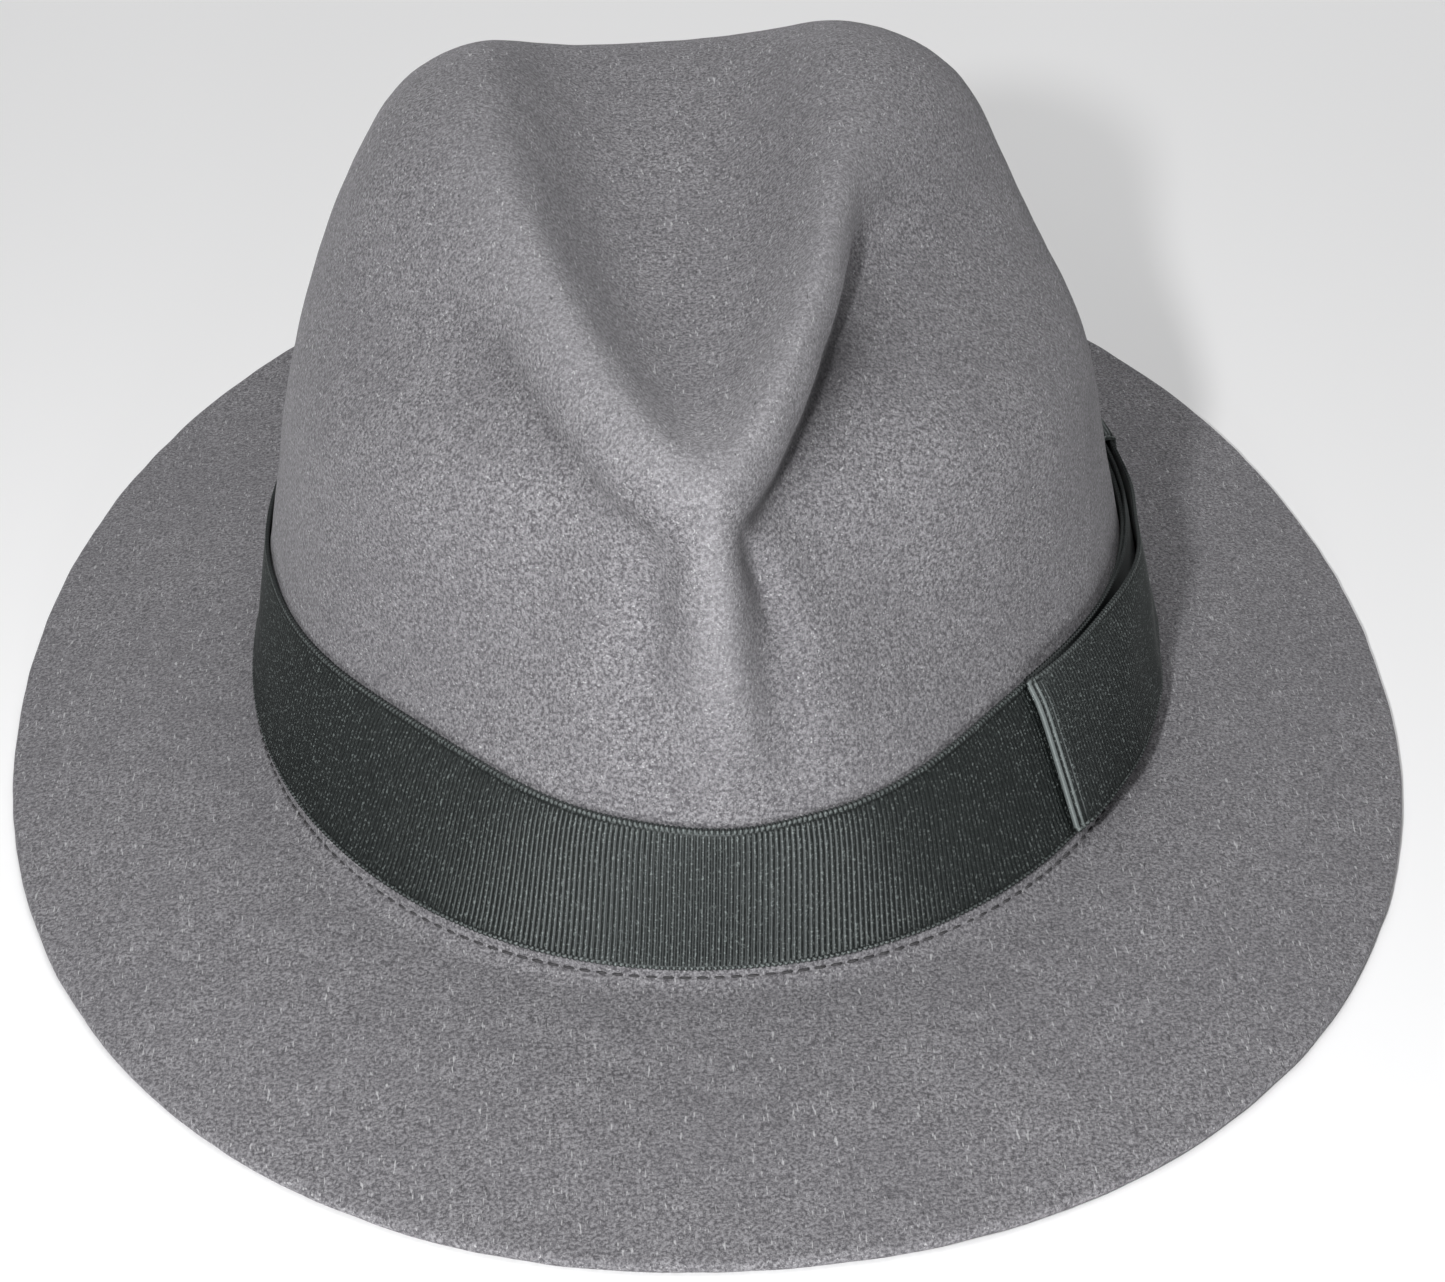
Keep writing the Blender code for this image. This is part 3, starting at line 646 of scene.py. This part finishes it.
def painted_highlight_and_shade(turn, row):
    """Painted highlight on the ridges and the stem, and below 0 painted shade in the folds beside the ridge
    and the stem.
    """
    front = 1 - smooth(1.0, 2.3, np.abs(turn))
    ridge = np.exp(-(((row - HIGHLIGHT_ROW) / 1.1) ** 2)) * front
    run = smooth(10.2, 13.0, row) * (1 - smooth(16.0, 18.0, row))
    arm = smooth(0.16, 0.35, np.abs(turn)) * (1 - smooth(1.1, 1.5, np.abs(turn)))
    fold = np.exp(-(((row - FOLD_ROW) / 0.50) ** 2)) * arm
    beside = np.exp(-(((np.abs(turn) - BESIDE_STEM) / 0.05) ** 2)) * smooth(11.2, 13.4, row)
    beside = beside * (1 - smooth(14.0, 15.0, row))
    # painted shade in the folds, standing in for the shadow beside the ridge and the stem
    painted_fold_shade = by_side(turn, FOLD_SHADE) * np.maximum(fold, 0.6 * beside)
    return RIDGE_HIGHLIGHT * np.maximum(ridge, run * stem(turn, 0.11)) - painted_fold_shade


def add_felt(look):
    turn = columns(FELT_COLUMNS)[None, :]
    by_stitches = STITCH_ROW + np.array([-0.20, -0.13, -0.07, 0.0, 0.07, 0.13, 0.20])
    row = even_rows(0.0, RING_SPANS, FELT_STEP, by_stitches)[:, None]
    outside = skin(turn, row)
    fade = 1 - smooth(RING_SPANS - 0.6, RING_SPANS, row)
    drawn_in = STITCH_GROOVE * np.exp(-(((row - STITCH_ROW) / 0.10) ** 2))
    lumps = 0.00016 * waves(outside, 0.020, 11) + 0.00007 * waves(outside, 0.0065, 12)
    front = skin(turn, row, lumps * fade - drawn_in)
    inside = skin(turn, row, -FELT)
    lumps = 0.00014 * waves(inside, 0.015, 13) + 0.00006 * waves(inside, 0.005, 14)
    back = skin(turn, row, -FELT + lumps * fade)
    # each point of the felt holds its painted highlight or painted shade
    made = sheet("felt_hat_body", front, back, look, True, True, ("painted_highlight_and_shade", painted_highlight_and_shade(turn, row)))
    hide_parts("felt_body")


# ---------------------------------------------------------------- grosgrain
RIB_PITCH = 0.00093
RIB_STEPS = 6                      # mesh columns to one rib
RIB_HEIGHT = 0.00022
SELVAGE = 0.0007
MIDDLE_LINE = 8                    # which of a ribbon's mesh lines is near its middle
ZIGZAG = 0.010                     # how far the selvages wave, in rows
BAND_ROWS = (6.80, 10.0)
BAND_OUT = CLEARANCE + RIBBON
BAND_LEAN = 0.0011                 # how far the ribs lean from edge to edge
BUTT_GAP_TURN = 0.006              # the band's two ends meet under the knot


def ribbon_shares(width):
    """Where a ribbon's mesh has its lines across it, from 0 to 1: close together at the selvages."""
    edge = np.array([0.0, 0.35, 0.7, 1.0, 1.3]) * SELVAGE / width
    return np.concatenate([edge, np.linspace(edge[-1], 1 - edge[-1], 11)[1:-1], 1 - edge[::-1]])


def rib_height(phase, share, width):
    """Height of the weave: round ribs, and beads along both selvages that lie between the ribs."""
    from_edge = np.minimum(share, 1 - share) * width
    body = np.abs(np.sin(math.pi * phase))
    bead = np.abs(np.cos(math.pi * phase))
    edge = 1 - smooth(0.75, 1.05, from_edge / SELVAGE)
    seam = np.exp(-(((from_edge / SELVAGE - 0.9) / 0.2) ** 2))
    return RIB_HEIGHT * (body * (1 - edge) + (bead + 0.35) * edge) * (1 - 0.75 * seam)


def painted_rib_shade_and_highlight(weave):
    """The value behind the ribbon's painted shade and painted highlight: 0 between the ribs, 1 on top of
    them, and up to 1.5 on the beads and the proud ribs of a fold.
    """
    high = weave / RIB_HEIGHT
    return "weave", smooth(0.15, 0.75, high) + 0.5 * smooth(1.00, 1.50, high)


def zigzag(along, share):
    """How far the selvages wave, in rows, along a ribbon: nothing in its middle."""
    at_edge = np.clip((np.abs(share - 0.5) - 0.47) / 0.03, 0, 1)
    return ZIGZAG * np.cos(2 * math.pi * along / RIB_PITCH) * at_edge * np.sign(share - 0.5)


def turns_by_length(first, last, row, step):
    """Turns that lie this far apart along a row, and how far along each lies."""
    fine = np.linspace(first, last, 2000)
    length = metres_along(skin(fine, row)[None], 1)[0]
    count = int(round(length[-1] / step)) + 1
    along = np.linspace(0, length[-1], count)
    return np.interp(along, length, fine), along


def add_band(look):
    first, last = KNOT_TURN - 2 * math.pi + BUTT_GAP_TURN, KNOT_TURN - BUTT_GAP_TURN
    middle = sum(BAND_ROWS) / 2
    turn, along = turns_by_length(first, last, middle, RIB_PITCH / RIB_STEPS)
    width = metres_along(skin(0.0, np.linspace(*BAND_ROWS, 50))[:, None], 0)[-1, 0]
    share = ribbon_shares(width)[:, None]
    lean = BAND_LEAN * (share - 0.5) / (along[-1] / (last - first))
    ends = smooth(0, 0.01, along) * smooth(0, 0.01, along[-1] - along)
    row = BAND_ROWS[0] + (BAND_ROWS[1] - BAND_ROWS[0]) * share + zigzag(along, share)
    turn = turn[None, :] + lean * ends
    weave = rib_height(along[None, :] / RIB_PITCH, share, width)
    lay = 0.00012 * (1 + waves(skin(turn, row), 0.030, 21)) * (0.4 + 0.6 * share)
    front = skin(turn, row, CLEARANCE + lay + RIBBON - 0.5 * RIB_HEIGHT + weave)
    back = skin(turn, row, CLEARANCE + lay)
    made = sheet("grosgrain_hat_band", front, back, look, shade=painted_rib_shade_and_highlight(weave))
    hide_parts("hat_band")
    widths = metres_along(skin(turn[MIDDLE_LINE][None, ::40], np.linspace(*BAND_ROWS, 50)[:, None]), 0)[-1]


# ---------------------------------------------------------------- the bow
LOOP_OUT = BAND_OUT + 0.0006       # the loops lie on the band
LOOP_ROWS = (6.88, 10.06)
LOOP_OPEN_AT_KNOT = 0.0005
PROUD_RIB = 0.00040                # the two ribs that stand out on the fold
KNOT_WAIST = 0.16                  # how much narrower the knot is in its middle, as a share
KNOT_PLEAT = 0.0005                # how deep its pleats are


def loop_line(points):
    """The loop's middle line: shares of the way to the fold, and distances outside the felt."""
    low = LOOP_OUT + RIBBON / 2
    run = np.linspace(0.0, 0.955, points)
    puff = LOOP_PUFF * np.sin(math.pi * np.clip((run - 0.2) / 0.8, 0, 1)) ** 0.9 + LOOP_OPEN_AT_KNOT
    angle = np.linspace(-math.pi / 2, math.pi / 2, 9)
    share = [run, 0.970 + 0.014 * np.cos(angle), run[::-1]]
    out = [np.zeros_like(run), 0.6 * RIBBON * (1 + np.sin(angle)), 1.2 * RIBBON + puff[::-1]]
    return np.concatenate(share), low + np.concatenate(out)


def add_loop(name, node, fold_turns, knot_side, seed, look):
    """One loop of the bow, flat against the band, with its fold away from the knot."""
    share, out = loop_line(60)
    width_rows = np.linspace(*LOOP_ROWS, 30)
    width = metres_along(skin(fold_turns[0], width_rows)[:, None], 0)[-1, 0]
    across = ribbon_shares(width)[:, None]
    fold = fold_turns[0] + (fold_turns[1] - fold_turns[0]) * across
    row = LOOP_ROWS[0] + (LOOP_ROWS[1] - LOOP_ROWS[0]) * across
    rough = skin(knot_side + (fold[MIDDLE_LINE] - knot_side) * share, row[MIDDLE_LINE], out)
    length = metres_along(rough[None], 1)[0]
    count = int(round(length[-1] / RIB_PITCH * RIB_STEPS)) + 1
    along = np.linspace(0, length[-1], count)
    share, out = np.interp(along, length, share), np.interp(along, length, out)
    turn = knot_side + (fold - knot_side) * share[None, :]
    row = row + zigzag(along, across)
    outer_half = smooth(length[-1] * 0.5, length[-1] * 0.56, along)
    sag = 0.0006 * waves(skin(turn, row), 0.022, seed) * outer_half * (1 - share) * share * 4
    line = skin(turn, row, out[None, :] + sag)
    normal = grid_normals(line, False) * (1 if fold_turns[0] < knot_side else -1)
    fold_at = along[np.argmax(share)]
    proud = np.zeros_like(along)
    for place in (0.2, 1.2):
        proud += np.exp(-(((along - fold_at) / RIB_PITCH - place) / 0.20) ** 2)
    weave = rib_height(along[None, :] / RIB_PITCH, across, width) + PROUD_RIB * proud
    front = line + normal * (RIBBON / 2 - 0.5 * RIB_HEIGHT + weave)[..., None]
    back = line - normal * RIBBON / 2
    if fold_turns[0] < knot_side:
        front, back, weave = front[:, ::-1], back[:, ::-1], weave[:, ::-1]
    made = sheet(name, front, back, look, shade=painted_rib_shade_and_highlight(weave))
    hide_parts(node)


def add_knot(look):
    """The short piece of ribbon wrapped over the middle of the bow, its ribs lying level."""
    low = LOOP_OUT + RIBBON / 2
    high = LOOP_OUT + 2 * RIBBON + LOOP_OPEN_AT_KNOT + CLEARANCE + RIBBON / 2
    middle = 0.5 * (low + high)
    # It starts behind the band's lower edge, comes up over the loops and ends behind the upper edge.
    rows = np.array([6.80, 6.70, 6.66, 6.72, 7.5, 8.3, 9.2, 10.08, 10.135, 10.13, 10.09])
    outs = np.array([low, low, middle, high, high, high, high, high, middle, low, low])
    rough = metres_along(skin(KNOT_TURN, rows, outs)[:, None], 0)[:, 0]
    count = int(round(rough[-1] / RIB_PITCH * RIB_STEPS)) + 1
    along = np.linspace(0, rough[-1], count)
    row, out = np.interp(along, rough, rows)[:, None], np.interp(along, rough, outs)[:, None]
    width = 2 * KNOT_HALF_TURN * HEAD_HALF_WIDTH
    share = ribbon_shares(width)[None, :]
    middle_of_knot = np.sin(math.pi * np.clip((row - 6.7) / 3.4, 0, 1))
    waist = 1 - KNOT_WAIST * middle_of_knot
    turn = KNOT_TURN + KNOT_HALF_TURN * (2 * share - 1) * waist
    pleat = KNOT_PLEAT * np.cos(2 * math.pi * 2.5 * (share - 0.5)) * middle_of_knot
    line = skin(turn, row, out + pleat)
    normal = grid_normals(line, False)
    weave = rib_height(along[:, None] / RIB_PITCH, share, width)
    front = line + normal * (RIBBON / 2 - 0.5 * RIB_HEIGHT + weave)[..., None]
    made = sheet("grosgrain_bow_knot", front, line - normal * RIBBON / 2, look, shade=painted_rib_shade_and_highlight(weave))
    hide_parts("bow_knot")


# ---------------------------------------------------------------- inside the hat
LINING_OUT = -(FELT + 0.0007)      # the satin hangs just clear of the felt
SWEAT_OUT = LINING_OUT - LINING - CLEARANCE
SWEAT_ROWS = (6.9, 11.0)
SWEAT_FALL = 0.0048                # the leather runs on straight down past the break
SWEAT_END_TURN = 0.003             # half the gap of the seam at the back
PIPING_RADIUS = 0.0011
THREAD_RADIUS = 0.00021


def inside_strip(turn, row, offset):
    """The sweatband's surface; below its first row it runs on straight down."""
    start, above = skin(turn, SWEAT_ROWS[0], offset), skin(turn, SWEAT_ROWS[0] + 1.1, offset)
    wall = unit(start - above)
    over = np.minimum(row - SWEAT_ROWS[0], 0.0)
    return skin(turn, np.maximum(row, SWEAT_ROWS[0]), offset) - wall * (over * SWEAT_FALL)[..., None]


def add_sweatband(look):
    turn = np.linspace(-math.pi + SWEAT_END_TURN, math.pi - SWEAT_END_TURN, 560)[None, :]
    low = np.linspace(SWEAT_ROWS[0] - 1, SWEAT_ROWS[0], 7)
    row = np.append(low, np.linspace(*SWEAT_ROWS, 40)[1:])[:, None]
    flat = inside_strip(turn, row, SWEAT_OUT)
    ease = smooth(SWEAT_ROWS[0], SWEAT_ROWS[1], row)
    crease = 0.00035 * waves(flat, 0.016, 31) * ease
    crease -= 0.00025 * np.exp(-(((row - 7.15) / 0.05) ** 2))
    front = inside_strip(turn, row, SWEAT_OUT - LEATHER - np.maximum(crease, -0.0004))
    back = inside_strip(turn, row, SWEAT_OUT)
    made = sheet("leather_sweatband", front[:, ::-1], back[:, ::-1], look)
    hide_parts("sweatband")


def add_piping(look):
    turn = columns(600)
    edge = inside_strip(turn[None, :], np.full((1, 1), SWEAT_ROWS[0] - 1), SWEAT_OUT - LEATHER / 2)[0]
    path = edge - np.array([0, 0, PIPING_RADIUS + CLEARANCE])
    twist = PIPING_RADIUS * (1 + 0.05 * np.sin(2 * math.pi * np.arange(600) / 3))
    made = add_object("sweatband_piping_cord", *tube(path, twist, 12), look)
    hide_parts("sweatband_piping")


DASH = 0.0028                      # one stitch and the gap after it
DASH_SHARE = 0.82


def add_stitches(look):
    """The row of stitches on the brim that holds the sweatband: a dash of thread, then a gap."""
    turn = turns_by_length(-math.pi, math.pi, STITCH_ROW, DASH)[0]
    points, faces = [], []
    # A stitch comes up out of the felt, lies on it and goes down again.
    dip = np.array([-0.0009, -0.00020, 0.00006, 0.00010, 0.00006, -0.00020, -0.0009])
    for k, start in enumerate(turn[:-1]):
        here = np.linspace(start, start + (turn[k + 1] - start) * DASH_SHARE, len(dip))
        path = skin(here, np.full(len(dip), STITCH_ROW), dip - STITCH_GROOVE * 0.5)
        some_points, some_faces = tube(path, THREAD_RADIUS, 6, False)
        faces += [[i + len(points) * len(some_points) for i in face] for face in some_faces]
        points.append(some_points)
    made = add_object("sweatband_stitches", np.concatenate(points), faces, look)
    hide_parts("sweatband_stitching")


SEAM_BOW_WIDTH = 0.006
SEAM_BOW_HALF_TURN = 0.085
SEAM_BOW_RIBS = 8                  # ribs on each side of its middle


def add_sweatband_bow(look):
    """The small flat bow of ribbon that covers the sweatband's seam."""
    across = np.linspace(-1, 1, 97)
    half_height = 0.15 + 0.31 * np.abs(across) ** 0.8
    share = ribbon_shares(SEAM_BOW_WIDTH)[:, None]
    row = 8.4 + (2 * share - 1) * half_height[None, :]
    turn = math.pi + SEAM_BOW_HALF_TURN * across[None, :]
    near = SWEAT_OUT - LEATHER - 3 * CLEARANCE
    pinch = 0.0005 * np.exp(-((across / 0.12) ** 2))
    weave = 0.5 * rib_height(across[None, :] * SEAM_BOW_RIBS, share, SEAM_BOW_WIDTH)
    back = skin(turn, row, near)
    front = skin(turn, row, near - RIBBON * 0.6 - weave - pinch)
    shade = painted_rib_shade_and_highlight(2 * weave[:, ::-1])
    made = sheet("sweatband_seam_bow", front[:, ::-1], back[:, ::-1], look, shade=shade)
    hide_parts("sweatband_bow")


def add_lining(name, node, rows, seed, pole, look):
    turn = columns(540)[None, :]
    row = even_rows(*rows, 0.0016)[:, None]
    flat = skin(turn, row, LINING_OUT)
    fade = 1 - smooth(RING_SPANS - 1.0, RING_SPANS, row)
    sag = 0.00022 * (1 + waves(flat, 0.018, seed)) * fade
    front = skin(turn, row, LINING_OUT - LINING - sag)
    back = skin(turn, row, LINING_OUT - sag)
    made = sheet(name, front[:, ::-1], back[:, ::-1], look, around=True, pole=pole)
    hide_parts(node)
    if pole:
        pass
    else:
        height = metres_along(flat, 0)[-1].mean()


# ---------------------------------------------------------------- stage
def lamp(name, place, aim, size, power):
    data = bpy.data.lights.new(name, "AREA")
    data.shape, data.size, data.energy = "DISK", size, power
    made = bpy.data.objects.new(name, data)
    bpy.context.scene.collection.objects.link(made)
    made.location, made.visible_camera = place, False
    made.rotation_euler = (Vector(aim) - Vector(place)).to_track_quat("-Z", "Y").to_euler()


CAMERA_ELEVATION = math.radians(32.5)
CAMERA_YAW = math.radians(-3.2)
CAMERA_ROLL = math.radians(-1.4)
CAMERA_DISTANCE = 0.600
CAMERA_AIM = np.array([0.0047, 0.0, 0.0057])
FOCAL_LENGTH = 77.73


def add_camera():
    e, yaw = CAMERA_ELEVATION, CAMERA_YAW
    back = np.array([math.sin(yaw) * math.cos(e), -math.cos(yaw) * math.cos(e), math.sin(e)])
    right = np.array([math.cos(yaw), math.sin(yaw), 0.0])
    up = np.cross(back, right)
    c, s = math.cos(CAMERA_ROLL), math.sin(CAMERA_ROLL)
    data = bpy.data.cameras.new("camera")
    data.sensor_width, data.lens, data.clip_start = 36.0, FOCAL_LENGTH, 0.01
    made = bpy.data.objects.new("camera", data)
    bpy.context.scene.collection.objects.link(made)
    place = CAMERA_AIM + back * CAMERA_DISTANCE
    turned = np.eye(4)
    turned[:3, :4] = np.array([right * c + up * s, up * c - right * s, back, place]).T
    made.matrix_world = Matrix(turned.tolist())
    bpy.context.scene.camera = made


FLOOR_HALF_SIDE = 3.0


def add_stage():
    low = CAD_BOX[0][2]
    n = Nodes("studio_floor")
    n.set(Base_Color=(0.95, 0.95, 0.955, 1.0), Roughness=0.9)
    half = FLOOR_HALF_SIDE
    corners = np.array([[-half, -half, low], [half, -half, low], [half, half, low], [-half, half, low]])
    mesh = bpy.data.meshes.new("studio_floor")
    mesh.from_pydata(corners.tolist(), [], [(0, 1, 2, 3)])
    mesh.materials.append(n.material)
    floor = bpy.data.objects.new("studio_floor", mesh)
    bpy.context.scene.collection.objects.link(floor)

    world = bpy.data.worlds.new("studio")
    world.use_nodes = True
    world.node_tree.nodes["Background"].inputs["Color"].default_value = (1.0, 1.0, 1.0, 1.0)
    world.node_tree.nodes["Background"].inputs["Strength"].default_value = 0.13
    bpy.context.scene.world = world

    lamp("key", (-0.13, -0.48, 0.36), (0.0, -0.02, 0.05), 0.04, 2.5)
    lamp("low_front", (0.02, -1.20, 0.06), (0.0, -0.10, 0.03), 0.12, 5.5)
    lamp("top", (0.0, 0.25, 1.6), (0.0, 0.0, 0.0), 1.3, 8.0)
    lamp("back", (0.2, 1.5, 1.1), (0.0, 0.5, 0.0), 1.4, 10.0)
    bpy.context.scene.view_settings.view_transform = "Standard"


def main():
    felt, ribbon, leather = felt_look(), ribbon_look(), leather_look()
    satin, tape = satin_look(), tape_look()
    thread = thread_look("dark_thread", (0.022, 0.021, 0.023), (0.070, 0.068, 0.072))

    add_felt(felt)
    add_band(ribbon)
    add_loop("grosgrain_bow_front_loop", "bow_front_loop", FRONT_FOLD_TURNS, KNOT_TURN - 0.012, 41, ribbon)
    add_loop("grosgrain_bow_rear_loop", "bow_rear_loop", REAR_FOLD_TURNS, KNOT_TURN + 0.012, 42, ribbon)
    add_knot(ribbon)
    add_sweatband(leather)
    add_piping(tape)
    add_stitches(thread)
    add_sweatband_bow(ribbon)
    add_lining("satin_lining_side", "lining_side", (9.4, 15.0), 51, False, satin)
    add_lining("satin_lining_tip", "lining_tip", (15.1, RING_SPANS), 52, True, satin)
    add_camera()
    add_stage()


main()
